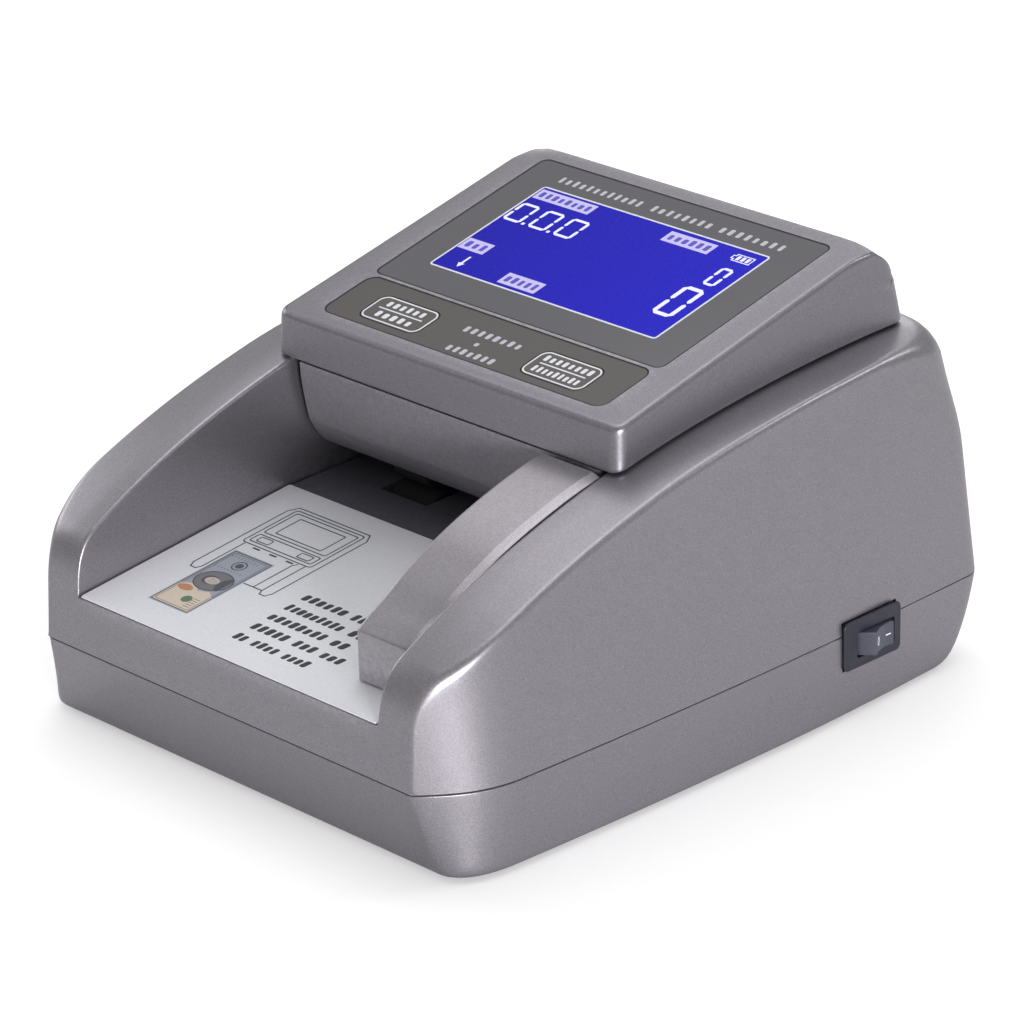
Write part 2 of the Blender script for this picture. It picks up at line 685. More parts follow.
def outline_point(part, place, z):
    """A point of the outline: front corner (place 0..1), side (place = y, or None for its
    rear end), rear arc (degrees) or rear face (share of the way to the middle)."""
    front, crease_x, _, rear, radius, down = plan(z)
    if part == "front":
        y_end = front + 19.4 - 6.4 * down
        x_end = side_x(y_end, z)
        return cubic((crease_x, front),
                     (crease_x + (0.49 - 0.04 * down) * (x_end - crease_x),
                      front + 5.2 - 4.5 * down),
                     (x_end - 0.45, front + 10.0 - 6.2 * down), (x_end, y_end), place)
    y_arc = rear - radius
    if part == "side":
        y = y_arc if place is None else place
        return side_x(y, z), y
    x_arc = side_x(y_arc, z) - radius
    if part == "arc":
        a = math.radians(place)
        return x_arc + radius * math.cos(a), y_arc + radius * math.sin(a)
    return x_arc * (1 - place), rear


def outline_loop(z, inset=0.0, level=None):
    """The whole outline at height z, counter-clockwise; level lays it at another height."""
    half = [outline_point("front", i / 26, z) for i in range(27)]
    half += [outline_point("side", y, z) for y in SIDE_Y + [None]]
    half += [outline_point("arc", 90 * i / REAR_ARC, z) for i in range(1, REAR_ARC + 1)]
    # soften the vertical crease at the front
    x, y = half[0]
    half = fillet((x - 0.9, y), (x, y), half[3], 5)[:-1] + half[3:]
    points = half + [(-x, y) for x, y in reversed(half)]
    if inset:
        points = inset_loop(points, inset)
    return [(x, y, z if level is None else level) for x, y in points]


def top_z(y):
    return along(PROFILE, y)


def wall_top(x, y):
    return top_z(y) - CROWN * max(abs(x) - 48.0, 0.0)


def on_top(point):
    """The point moved up or down onto the wall's top."""
    return Vector((point.x, point.y, wall_top(point.x, point.y)))


def tray_z(y):
    return TRAY_Z0 + TRAY_SLOPE * (min(y, LABEL_BACK) - FRONT_Y)


def deck_z(y):
    return 36.2 + 0.026 * (y - LABEL_BACK)


def channel_x(y, z):
    """Inner face of the channel's side wall."""
    return TRAY_HW + TRAY_LEAN * (z - tray_z(y))


def crease(part, place):
    """Where the line up the wall meets the wall's top."""
    z = meet(31.0, 70.6, 40, lambda z: wall_top(*outline_point(part, place, z)) > z)
    return (*outline_point(part, place, z), z)


# ------------------------------------------------------------------ upper shell
WALL_STEPS, EDGE_STEPS, TOP_STEPS = 18, 6, 6
INNER_STEPS, CHANNEL_STEPS, FLOOR_STEPS = 5, 8, 10


def shell_stations():
    """Half the shell, front to rear: zone, outline part, place on it, crease point.
    Zone low is the front crease below the lip, ear the stretch above it."""
    ear_top = crease("front", 0.0)[2]
    heights = [("low", SEAM_TOP + (TRAY_Z0 - SEAM_TOP) * i / 6) for i in range(7)]
    heights += [("ear", TRAY_Z0 + (ear_top - TRAY_Z0) * i / 4) for i in range(1, 4)]
    places = [("curve", "front", (i / 30) ** 1.6) for i in range(31)]
    places += [("side", "side", y) for y in SIDE_Y + [None]]
    places += [("rear", "arc", 90 * i / REAR_ARC) for i in range(1, REAR_ARC + 1)]
    places += [("rear", "back", i / 8) for i in range(1, 9)]
    return ([(zone, "front", 0.0, (*outline_point("front", 0.0, z), z)) for zone, z in heights]
            + [(*place, crease(*place[1:])) for place in places])


def edge_leg(zone, part, place, y, share):
    """Length of the rounding's legs at the wall's upper edge; share runs along the curve."""
    if zone in ("low", "ear"):
        return 0.7
    if zone == "curve":
        return 0.7 + 1.5 * smooth(share * 3.0) - 0.9 * smooth((share - 0.45) * 2.0)
    if zone == "side":
        return 1.3 + 1.8 * smooth((y - 44.0) / 16.0)
    return 3.1 + 2.9 * smooth((place / 90.0 if part == "arc" else 1.0) * 1.3)


def channel_corner(zone, top):
    """Sharp corner between the wall's top and the channel, level with a crease point."""
    if zone in ("low", "ear"):
        return Vector((max(channel_x(FRONT_Y, top.z), TRAY_HW), top.y, top.z))
    z = top_z(top.y)
    return Vector((channel_x(top.y, z), top.y, z))


def to_middle(point):
    """Level points from a point to the mirror plane."""
    return [Vector((point.x * (1 - k / FLOOR_STEPS), point.y, point.z))
            for k in range(FLOOR_STEPS + 1)]


def top_shell_skin():
    """Outer skin: up the wall, over its edge, across its top and down into the channel."""
    stations = shell_stations()
    zones = [s[0] for s in stations]
    ear, curve, front_count = zones.index("ear"), zones.index("curve"), zones.index("side")
    distance = [0.0]                            # along the crease, over the front
    for a, b in zip(stations, stations[1:front_count]):
        distance.append(distance[-1] + (Vector(b[3]) - Vector(a[3])).length)
    walls, fronts, tops, channels, rears = [], [], [], [], []
    y_lip = FRONT_Y + DRAFT_FRONT * (TRAY_Z0 - SEAM_Z)
    y_join = stations[front_count - 1][3][1]

    for i, (zone, part, place, crease_point) in enumerate(stations):
        top = Vector(crease_point)
        share, foot = 0.0, None
        if i < front_count:
            # lines of the front corner fan out: foot is where each one stands at the seam
            share = (distance[i] - distance[curve]) / (distance[-1] - distance[curve])
            foot = (0.56 * distance[i] / distance[curve] if i <= curve
                    else 0.56 + 0.44 * share)

        def wall(t):
            """Point of this station's line: t 0 at the seam, 1 at the crease."""
            z = SEAM_TOP + (top.z - SEAM_TOP) * t
            at = place if foot is None else min(max(foot + (place - foot) * t, 0.0), 1.0)
            return Vector((*outline_point(part, at, z), z))
        length = max((wall(0.0) - top).length, 1e-6)
        leg = min(edge_leg(zone, part, place, top.y, share), 0.45 * length)
        if zone == "rear":
            inward = Vector((0, -1, 0))
            if part == "arc":
                a = math.radians(place)
                inward = Vector((-math.cos(a), -math.sin(a), 0))
        else:
            corner = channel_corner(zone, top)
            inward = (corner - top).normalized()
        end = top + inward * leg
        if zone not in ("low", "ear"):
            end = on_top(end)
        reach = 1 - leg / length
        walls.append([wall(reach * k / WALL_STEPS) for k in range(WALL_STEPS)]
                     + fillet(wall(reach), top, end, EDGE_STEPS))
        if zone == "rear":
            rears.append(end)
            continue

        # across the top to the channel, then over its edge
        rounding = CHANNEL_ROUND
        if zone == "low":
            stop = corner
        elif zone == "ear":
            rounding = min(CHANNEL_ROUND, (top.z - TRAY_Z0) * 0.6)
            stop = corner + (end - corner).normalized() * rounding
        else:
            beyond = Vector((corner.x + 1, corner.y, wall_top(corner.x + 1, corner.y)))
            stop = corner + (beyond - corner).normalized() * rounding
        line = [end + (stop - end) * (k / TOP_STEPS) for k in range(TOP_STEPS + 1)]
        if zone == "low":
            fronts.append(line)
            continue
        if zone != "ear":
            line = [on_top(v) for v in line]
        tops.append(line)
        y = top.y
        if i < front_count:
            spread = (distance[i] - distance[ear - 1]) / (distance[-1] - distance[ear - 1])
            y = y_lip + (y_join - y_lip) * spread ** 1.05
        floor = Vector((TRAY_HW, y, tray_z(y)))
        fall = floor - corner
        start = corner + fall.normalized() * min(rounding, 0.4 * fall.length)
        down = [start + (floor - start) * (k / CHANNEL_STEPS) for k in range(1, CHANNEL_STEPS + 1)]
        channels.append([Vector(p) for p in fillet(line[-1], corner, start, INNER_STEPS)]
                        + [Vector((channel_x(v.y, v.z), v.y, v.z)) for v in down])

    bm = bmesh.new()
    strip(bm, walls)
    strip(bm, [line[:-1] + to_middle(line[-1]) for line in fronts])
    lip = fronts[-1]
    strip(bm, [lip] + tops)
    channels.insert(0, [lip[-1].copy() for _ in range(INNER_STEPS + CHANNEL_STEPS + 1)])
    strip(bm, channels)
    # tray floor, up to the back of the label
    strip(bm, [to_middle(c[-1]) for c in channels if c[-1].y < LABEL_BACK - 0.1])
    rear_shelf(bm, tops[-1], channels[-1], rears)
    # the other half
    half = [tuple(v.co for v in f.verts) for f in bm.faces]
    for face in half:
        bm.faces.new([bm.verts.new((-c.x, c.y, c.z)) for c in reversed(face)])
    bmesh.ops.remove_doubles(bm, verts=bm.verts, dist=0.004)
    bmesh.ops.dissolve_degenerate(bm, dist=0.002, edges=bm.edges)
    return bm


def rear_shelf(bm, side_end, channel, rears):
    """Top behind the channel, and the channel's end wall below it."""
    start = side_end[-1]
    z = wall_top(44, CHANNEL_END)
    inner = Vector((channel_x(CHANNEL_END, z), CHANNEL_END + CHANNEL_ROUND, z))
    inner.x += 0.6
    rows = []
    for k, edge in enumerate(rears):
        # the channel's corner faces the first 64 degrees of the rear corner
        share = 90.0 * (k + 1) / REAR_ARC / 64.0
        if k < REAR_ARC and share <= 1.0:
            target = start.lerp(inner, share)
        else:
            target = Vector((min(edge.x, inner.x), inner.y, inner.z))
        rows.append([on_top(edge.lerp(target, j / TOP_STEPS)) for j in range(TOP_STEPS + 1)])
    strip(bm, [side_end] + rows)
    z_floor = tray_z(LABEL_BACK)
    end_rows = [channel]
    for edge in [row[-1] for row in rows]:
        if edge.y < inner.y - 0.01 or edge.x > inner.x - 0.01:
            y = start.y + (edge.y - start.y) * (CHANNEL_END - start.y) / (inner.y - start.y)
            corner = Vector((channel_x(y, edge.z), y, edge.z))
            floor = Vector((TRAY_HW, y, z_floor))
        else:
            corner = Vector((edge.x, CHANNEL_END, edge.z))
            floor = Vector((min(edge.x, TRAY_HW), CHANNEL_END, z_floor))
        below = corner + (floor - corner).normalized() * CHANNEL_ROUND
        end_rows.append(fillet(edge, corner, below, INNER_STEPS)
                        + [below.lerp(floor, j / CHANNEL_STEPS)
                           for j in range(1, CHANNEL_STEPS + 1)])
    strip(bm, end_rows)


def delete_loose(bm):
    bmesh.ops.delete(bm, geom=[e for e in bm.edges if not e.link_faces], context="EDGES")
    bmesh.ops.delete(bm, geom=[v for v in bm.verts if not v.link_edges], context="VERTS")


def tidy(ob, reach=0.22):
    """Closes the slivers that a Boolean leaves where two offset walls meet."""
    bm = bmesh.new()
    bm.from_mesh(ob.data)
    for _ in range(5):
        bad = {v for e in bm.edges if len(e.link_faces) != 2 for v in e.verts}
        if not bad:
            break
        ring = {w for v in bad for e in v.link_edges for w in e.verts}
        near = [v for v in ring if min((v.co - b.co).length for b in bad) < reach]
        bmesh.ops.remove_doubles(bm, verts=near, dist=reach * 0.8)
        bmesh.ops.dissolve_degenerate(bm, dist=0.002, edges=bm.edges)
        bm.verts.index_update()
        twins = {}
        for face in bm.faces:
            twins.setdefault(frozenset(v.index for v in face.verts), []).append(face)
        doubled = [f for faces in twins.values() if len(faces) > 1 for f in faces]
        if doubled:
            bmesh.ops.delete(bm, geom=doubled, context="FACES")
        delete_loose(bm)
        holes = [e for e in bm.edges if len(e.link_faces) == 1]
        if holes:
            bmesh.ops.holes_fill(bm, edges=holes, sides=12)
    stray = [f for f in bm.faces if any(len(e.link_faces) == 1 for e in f.edges)
             and any(len(e.link_faces) > 2 for e in f.edges)]
    if stray:
        bmesh.ops.delete(bm, geom=stray, context="FACES")
        delete_loose(bm)
    bmesh.ops.recalc_face_normals(bm, faces=bm.faces)
    bm.to_mesh(ob.data)
    bm.free()


def build_top_shell():
    ob = solid("top_shell_visual", top_shell_skin())
    thicken(ob, 0.72)
    z = deck_z(66)
    boolean(ob, [block(-39, 39, 60, 85, z - 2.6, z + 5.2),
                 block(55, 70, SWITCH_Y0 - GAP, SWITCH_Y1 + GAP, 10, SWITCH_Z1 + GAP)])
    boolean(ob, [block(a, b, 56, 69.6, 63.4, 80) for a, b in LUGS], self_cross=True)
    tidy(ob)
    finish(ob, BODY, "base", sharp=30)


# ------------------------------------------------------------------ lower shell, seam and hinge
# Rounded foot of the wall: height above the base, inset
FOOT_ROUND = ((0.0, 1.35), (0.06, 0.92), (0.25, 0.56), (0.6, 0.27), (1.1, 0.10), (1.9, 0.02),
              (2.8, 0.0))
# Section of the seal: inset, height
SEAL = ((0.20, 18.25), (0.10, 18.31), (0.10, 18.49), (0.20, 18.55), (1.0, 18.55), (1.0, 18.25))


def build_bottom_shell():
    rings = [outline_loop(BASE_Z + height, inset) for height, inset in FOOT_ROUND]
    wall_z, rim = BASE_Z + FOOT_ROUND[-1][0], 0.25
    rings += [outline_loop(wall_z + (SEAM_LOW - rim - wall_z) * i / 14) for i in range(1, 15)]
    for a in map(math.radians, (30, 60, 90)):
        rings.append(outline_loop(SEAM_LOW - rim + rim * math.sin(a), rim * (1 - math.cos(a))))
    # rim, a small step up to the tongue, then the inner wall and floor
    rings.append(outline_loop(SEAM_LOW, 1.15))
    rings += [outline_loop(SEAM_LOW, inset, SEAM_Z + 1.35) for inset in (1.2, 2.1)]
    rings += [outline_loop(z, 2.1) for z in (14.0, 10.0, 7.0, 4.6)]
    rings.append(outline_loop(3.2, 3.4))
    ob = solid("bottom_shell_visual", loft(rings))
    boolean(ob, [rod(4.0, 2.0, 9.0, at, "Z") for at in SCREWS], "UNION")
    tools = []
    for at in SCREWS:
        tools += [rod(3.4, 0.0, 4.5, at, "Z"), rod(1.8, 4.0, 10.0, at, "Z", 24)]
    tools += [rod(5.3, 0.0, 2.2, at, "Z") for at in FEET]
    # battery door and its opening, switch, and two openings in the rear wall
    tools += [block(DOOR_X0 - GAP, DOOR_X1 + GAP, DOOR_Y0 - GAP, DOOR_Y1 + GAP, 0.0, 2.6),
              block(DOOR_X0 + 2, DOOR_X1 - 2, DOOR_Y0 + 2, DOOR_Y1 - 2, 0.0, 8.0),
              block(55.0, 70.0, SWITCH_Y0 - GAP, SWITCH_Y1 + GAP, SWITCH_Z0 - GAP, 30.0),
              block(28.6, 37.4, 66.0, 80.0, 8.6, 17.4),
              block(12.6, 23.4, 66.0, 80.0, 9.6, 15.4)]
    boolean(ob, tools)
    finish(ob, BODY, "base", sharp=30)


def build_seam():
    """Dark seal lying in the parting line between the two shells."""
    ob = solid("seam_seal", loft([outline_loop(SEAM_Z, inset, z) for inset, z in SEAL],
                                 closed=True))
    boolean(ob, [block(50, 70, SWITCH_Y0 - 0.2, SWITCH_Y1 + 0.2, 17, 20)])
    finish(ob, BLACK, "base", sharp=30)


def build_hinge_blocks():
    """Forked blocks at the rear of the body that carry the hinge pins."""
    for tag, (a, b) in zip(("l", "r"), LUGS):
        outline = rounded(a - 2.2, b + 2.2, 61.5, 69.4, 0.8, 4)
        ob = solid(f"hinge_block_{tag}", slab(outline, 58.0, 67.2, 0.25, 2))
        boolean(ob, [block(a - 0.1, b + 0.1, 56, 72, 63.3, 80),
                     rod(1.55, a - 4, b + 4, (HINGE_Y, HINGE_Z), segs=32)])
        finish(ob, BODY, "base", sharp=30)


# ------------------------------------------------------------------ head
ROOF_ROLL = [cubic((55.6, 88.42), (60.2, 86.1), (64.0, 82.5), (64.9, 77.4), i / 40)
             for i in range(41)]                # rear of the roof, (y, z)
SIDE_SPAN, FRONT_SPAN = 40, 24                  # steps along the head's sides, and front and rear


def roof_z(y):
    y = min(y, 64.8)
    if y <= ROOF_ROLL[0][0]:
        return SEAM_Z + (HEAD_D + (y - FRONT_Y) * math.sin(TILT)) / math.cos(TILT)
    return along(ROOF_ROLL, y)


def head_loop(z, grow=0.0):
    """Plan outline of the head at height z, from the right end of its front face."""
    front = -16.45 + 0.055 * (z - 62.0) - grow
    rear = 67.0 - 0.229 * max(z - 69.0, 0.0) + grow
    w = HEAD_HW + 0.9 - 0.9 * min(max((z - 58.0) / 26.0, 0.0), 1.0) + grow
    r_front, r_rear = 2.6 + grow, 4.8 + grow
    arcs = [[(cx + r * math.cos(math.radians(start + 9 * i)),
              cy + r * math.sin(math.radians(start + 9 * i))) for i in range(11)]
            for cx, cy, r, start in ((w - r_front, front + r_front, r_front, -90),
                                     (w - r_rear, rear - r_rear, r_rear, 0),
                                     (-w + r_rear, rear - r_rear, r_rear, 90),
                                     (-w + r_front, front + r_front, r_front, 180))]
    points = []
    for arc, following, k in zip(arcs, arcs[1:] + arcs[:1], (SIDE_SPAN, FRONT_SPAN) * 2):
        a, b = arc[-1], following[0]
        points += arc
        points += [(a[0] + (b[0] - a[0]) * i / k, a[1] + (b[1] - a[1]) * i / k)
                   for i in range(1, k)]
    return points


def head_point(i, z, grow=0.0):
    return head_loop(z, grow)[i]


def head_skin():
    """Drafted walls that follow the body's top, a rounded rim, and the sloping roof."""
    foot = [top_z(y) + 0.55 for x, y in head_loop(66.0)]
    count = len(foot)
    # height at which each line up the wall reaches the roof, and its rounding there
    crest = [meet(60.0, 95.0, 30, lambda z: roof_z(head_point(i, z)[1]) > z)
             for i in range(count)]
    rim_r = [1.25 * (1 - 0.55 * smooth((head_point(i, z)[1] - 50) / 12))
             for i, z in enumerate(crest)]
    under = 0.35
    rings = [[(*head_point(i, z + rise, grow), z + rise) for i, z in enumerate(foot)]
             for rise, grow in ((0.0, -0.35), (0.12, -0.12), (under, 0.0))]
    for k in range(1, 13):
        heights = [foot[i] + under + (crest[i] - rim_r[i] - foot[i] - under) * (k / 12)
                   for i in range(count)]
        rings.append([(*head_point(i, z), z) for i, z in enumerate(heights)])
    corners = []
    for i, (z, r) in enumerate(zip(crest, rim_r)):
        x, y = head_point(i, z, -r)
        corners.append((Vector((*head_point(i, z - r), z - r)), Vector((*head_point(i, z), z)),
                        Vector((x, y, roof_z(y)))))
    rings += [[fillet_vector(*corner, k / 6) for corner in corners] for k in range(1, 7)]
    bm = bmesh.new()
    rows = [[bm.verts.new(p) for p in ring] for ring in rings]
    skin(bm, rows, around=True)
    # roof: strips across the head between matching points of its two sides
    rim = rows[-1]
    left = count - FRONT_SPAN                   # left end of the front edge
    side = left // 2 - FRONT_SPAN // 2          # points down each side, arcs included
    lines = [[rim[0]] + [rim[i] for i in range(count - 1, left - 1, -1)]]
    for i in range(1, side):
        line = [rim[i]]
        for k in range(1, FRONT_SPAN):
            v = rim[i].co.lerp(rim[left - i].co, k / FRONT_SPAN)
            line.append(bm.verts.new((v.x, v.y, roof_z(v.y) if v.y > 40 else v.z)))
        lines.append(line + [rim[left - i]])
    lines.append([rim[side + k] for k in range(FRONT_SPAN + 1)])
    skin(bm, lines)
    for v in bm.verts:                          # the roof's rear corners fall away softly
        x, y, z = v.co
        if z > 80 and y > 49 and abs(x) > 41:
            v.co.z -= 1.2 * smooth((abs(x) - 41) / 6) * smooth((y - 49) / 8)
    return bm


def build_head():
    ob = solid("head_cover_visual", head_skin())
    thicken(ob, 1.9)
    # opening under the display, then recesses for window, key panel and keys
    cuts = [(rounded(-34.0, 34.0, 94.5, 133.5, 1.0, 3), -8.0, 0.6),
            (grown(WINDOW_BOX, GAP, 2.0), -1.3, 3.0), (grown(PANEL_BOX, GAP, 2.7), -0.8, 3.0)]
    cuts += [(grown(key_box(side), GAP, 2.5), -6.0, 1.0) for side in (-1, 1)]
    boolean(ob, [slab(*cut, place=HEAD_PLANE) for cut in cuts])
    finish(ob, HEAD, "head", sharp=30)


# ------------------------------------------------------------------ note guide
GUIDE_X0, GUIDE_Y0, GUIDE_Y1 = 27.6, -65.3, -17.0
# Top of the guide: y, height over the wall's top
GUIDE_RISE = ((-65.3, -2.6), (-62.0, -2.2), (-58.6, -2.0), (-54.0, -1.1), (-49.0, -0.5),
              (-44.0, 0.1), (-38.0, 0.4), (-30.0, 0.5), (-23.0, 0.45), (-17.0, 0.2))
# Soft outer shoulder: distance in from the wall, distance below the top
SHOULDER = ((0.0, 0.95), (0.05, 0.72), (0.22, 0.58), (0.95, 0.36), (1.7, 0.13), (1.95, 0.045),
            (2.25, 0.0))


def guide_rise(y):
    """Smooth curve through GUIDE_RISE."""
    last = len(GUIDE_RISE) - 1
    k = min(segment_at(GUIDE_RISE, y), last - 1)

    def slope(j):
        (ya, za), (yb, zb) = GUIDE_RISE[max(j - 1, 0)], GUIDE_RISE[min(j + 1, last)]
        return (zb - za) / (yb - ya)
    (ya, za), (yb, zb) = GUIDE_RISE[k], GUIDE_RISE[k + 1]
    h = yb - ya
    t = (y - ya) / h
    return ((2 * t ** 3 - 3 * t * t + 1) * za + (t ** 3 - 2 * t * t + t) * h * slope(k)
            + (-2 * t ** 3 + 3 * t * t) * zb + (t ** 3 - t * t) * h * slope(k + 1))


def guide_section(y, shrink=0.0):
    base = tray_z(y) + 0.75
    top = top_z(y) + guide_rise(y) - shrink * 0.6
    x0, inner_r = GUIDE_X0 + shrink, 0.7

    def outer(z):
        return channel_x(y, z) - GAP - shrink
    points = [(x0, base), (outer(base), base)]
    points += [(outer(top - drop) - dx, top - drop) for dx, drop in SHOULDER]
    points += fillet((x0 + inner_r, top), (x0, top), (x0, top - inner_r), 5)
    return [(x, y, z) for x, z in points]


def build_guide():
    """Block along the tray's right side, with soft long edges and a rounded front end."""
    r = 0.55
    rings = [guide_section(GUIDE_Y0 + r * (1 - math.cos(a)), r * (1 - math.sin(a)))
             for a in map(math.radians, (0, 22, 45, 68, 90))]
    ys = [GUIDE_Y0 + (GUIDE_Y1 - GUIDE_Y0) * i / 60 for i in range(61)]
    rings += [guide_section(y) for y in ys if y > GUIDE_Y0 + r + 0.3]
    finish(solid("note_guide_visual", loft(rings)), GUIDE, "base", sharp=34)


# ------------------------------------------------------------------ head chassis
PINCH_YS = (-2.0, 40.0)                         # pinch roller axles
PINCH_RISE = 6.15                               # their height over the deck
# Front of the nose, then its inner hollow: y, z
NOSE_FRONT = ((-15.4, 61.6), (-15.0, 57.0), (-13.65, 49.9), (-12.6, 47.4), (-11.1, 45.1),
              (-9.0, 42.9), (-5.9, 41.6))
NOSE_HOLLOW = [(-11.8, 70.0), (-12.6, 57.0), (-12.05, 50.4), (-9.9, 46.0), (-7.8, 44.2),
               (-5.9, 43.3), (56.9, 44.2), (56.9, 70.0)]


def nose_front():
    """Smooth curve through NOSE_FRONT, six steps to a span, without its last point."""
    points = []
    last = len(NOSE_FRONT) - 1
    for k in range(last):
        near = [NOSE_FRONT[j] for j in (max(k - 1, 0), k, k + 1, min(k + 2, last))]
        for t in (i / 6 for i in range(6)):
            points.append(tuple(
                0.5 * (2 * b + (c - a) * t + (2 * a - 5 * b + 4 * c - d) * t * t
                       + (3 * b - a - 3 * c + d) * t ** 3) for a, b, c, d in zip(*near)))
    return points


def round_corners(points, corners, leg, n=6):
    """Rounds the listed corners of a polygon."""
    rounded_points = []
    for i, p in enumerate(points):
        if i not in corners:
            rounded_points.append(p)
            continue
        a, b, p = Vector(points[i - 1]), Vector(points[(i + 1) % len(points)]), Vector(p)
        start = p + (a - p).normalized() * min(leg, 0.45 * (a - p).length)
        end = p + (b - p).normalized() * min(leg, 0.45 * (b - p).length)
        rounded_points += [tuple(fillet_vector(start, p, end, k / n)) for k in range(n + 1)]
    return rounded_points


def build_nose():
    """Lower closure of the head, with the smooth rounded nose over the feed slot."""
    front = nose_front()
    outer = front + [(-5.9, 41.6), (57.5, 42.6), (58.5, 43.6), (58.5, 67.0), (56.9, 67.0),
                     (-13.4, 63.4), (-13.4, 61.6)]
    outer = round_corners(outer, (len(front) + 1, len(front) + 2), leg=0.6)
    ob = solid("head_chassis_visual", slab(outer, -42.0, 42.0, 0.5, 3, YZ))
    boolean(ob, [slab(NOSE_HOLLOW, -40.4, 40.4, place=YZ)])
    hinge = (HINGE_Y, HINGE_Z)
    joins = []
    for a, b in ARMS:
        joins += [block(a, b, 56.2, HINGE_Y, 66.3, HINGE_Z + 1.7), rod(1.7, a, b, hinge),
                  block(a, b, 56.2, 58.5, 60.0, HINGE_Z)]
    pinch = [(y, deck_z(y) + PINCH_RISE) for y in PINCH_YS]
    for y, z in pinch:
        joins += [block(x - 1.5, x + 1.5, y - 3.5, y + 3.5, 42.6, z + 3.0) for x in (-32, 32)]
    boolean(ob, joins, "UNION")
    cuts = [rod(1.05, a - 1, b + 1, hinge, segs=24) for a, b in ARMS]
    for y, z in pinch:
        cuts += [block(x - 5.5, x + 5.5, y - 5.6, y + 5.6, 38.0, 46.0) for x in (-20.0, 20.0)]
        cuts += [block(-36, 36, y - 1.9, y + 1.9, 38.0, 47.0),
                 rod(1.55, -34.1, 34.1, (y, z), segs=24)]
    cuts.append(block(-37.3, 37.3, 12.7, 23.3, 38.0, 46.0))
    boolean(ob, cuts)
    finish(ob, NOSE, "head", sharp=30)


# ------------------------------------------------------------------ label, window, keys, switch
def build_label():
    back = (LABEL_BACK - 0.1 - FRONT_Y) / math.cos(TRAY_ANGLE)
    card = slab(rounded(-41.9, 41.9, 0.9, back, 0.5, 4), 0.12, LABEL_TOP, 0.08, 2, LABEL_PLANE)
    finish(solid("tray_label_visual", card), LABEL, "base")


def build_window_and_keys():
    pane = slab(grown(WINDOW_BOX, 0, 1.7), -1.0, -0.05, 0.16, 3, HEAD_PLANE)
    finish(solid("display_window_visual", pane), WINDOW, "head")
    panel = solid("key_overlay_visual",
                  slab(grown(PANEL_BOX, 0, 2.4), -0.5, -0.08, 0.08, 2, HEAD_PLANE))
    boolean(panel, [slab(grown(key_box(side), 0.22, 2.45), -3.0, 3.0, place=HEAD_PLANE)
                    for side in (-1, 1)])
    finish(panel, PANEL, "head")
    for tag, side in (("left", -1), ("right", 1)):
        key = slab(grown(key_box(side), 0, 2.2), -3.4, -0.05, 0.15, 3, HEAD_PLANE)
        finish(solid(f"key_{tag}_visual", key), KEY, f"{tag}_key")


def build_switch():
    """Bezel with a rounded rim and a well for the rocker."""
    ob = solid("switch_housing_visual", slab(grown(SWITCH_BOX, 0.35, 1.3, 6), 62.45, 63.05,
                                             0.28, 3, YZ))
    inner = rounded(SWITCH_Y0 + 1.3, SWITCH_Y1 - 1.0, SWITCH_Z0 + 0.9, SWITCH_Z1 - 0.9, 0.4, 3)
    boolean(ob, [slab(grown(SWITCH_BOX, 0, 0.7, 5), SWITCH_X - 1.3, SWITCH_X - 0.2, place=YZ),
                 slab(inner, 50.0, SWITCH_X - 0.6, place=YZ)], "UNION")
    well = rounded(ROCKER_Y - 5.4, ROCKER_Y + 5.4, ROCKER_Z - 2.75, ROCKER_Z + 2.75, 0.35, 3)
    boolean(ob, [slab(well, 54.6, 70.0, place=YZ)])
    bevel(ob, width=0.12, segments=2, angle=60)
    finish(ob, SWITCH, "base")


def build_rocker():
    """Tipped rocker: a dished face between two raised ends, and a half-round back."""
    half_length = 5.0
    points = [(1.5, -half_length)]
    for t in (-1 + 2 * i / 12 for i in range(13)):
        points.append((DISH_REACH + DISH_RISE * t * t, DISH_HALF * t))
    points.append((1.5, half_length))
    for a in (math.radians(90 + 180 * k / 16) for k in range(1, 16)):
        points.append((half_length * math.cos(a), half_length * math.sin(a)))
    c, s = math.cos(ROCKER_TILT), math.sin(ROCKER_TILT)
    points = [(ROCKER_X + x * c - y * s, ROCKER_Y + x * s + y * c) for x, y in points]
    ob = solid("power_rocker_visual", slab(points, ROCKER_Z - 2.45, ROCKER_Z + 2.45))
    bevel(ob, width=0.22, segments=3, angle=40)
    finish(ob, ROCKER, "rocker")


# ------------------------------------------------------------------ printed marks
def box(x0, x1, y0, y1):
    return [(x0, y0), (x1, y0), (x1, y1), (x0, y1)]


def ellipse(cx, cy, rx, ry, n=28):
    return [(cx + rx * math.cos(2 * math.pi * i / n), cy + ry * math.sin(2 * math.pi * i / n))
            for i in range(n)]


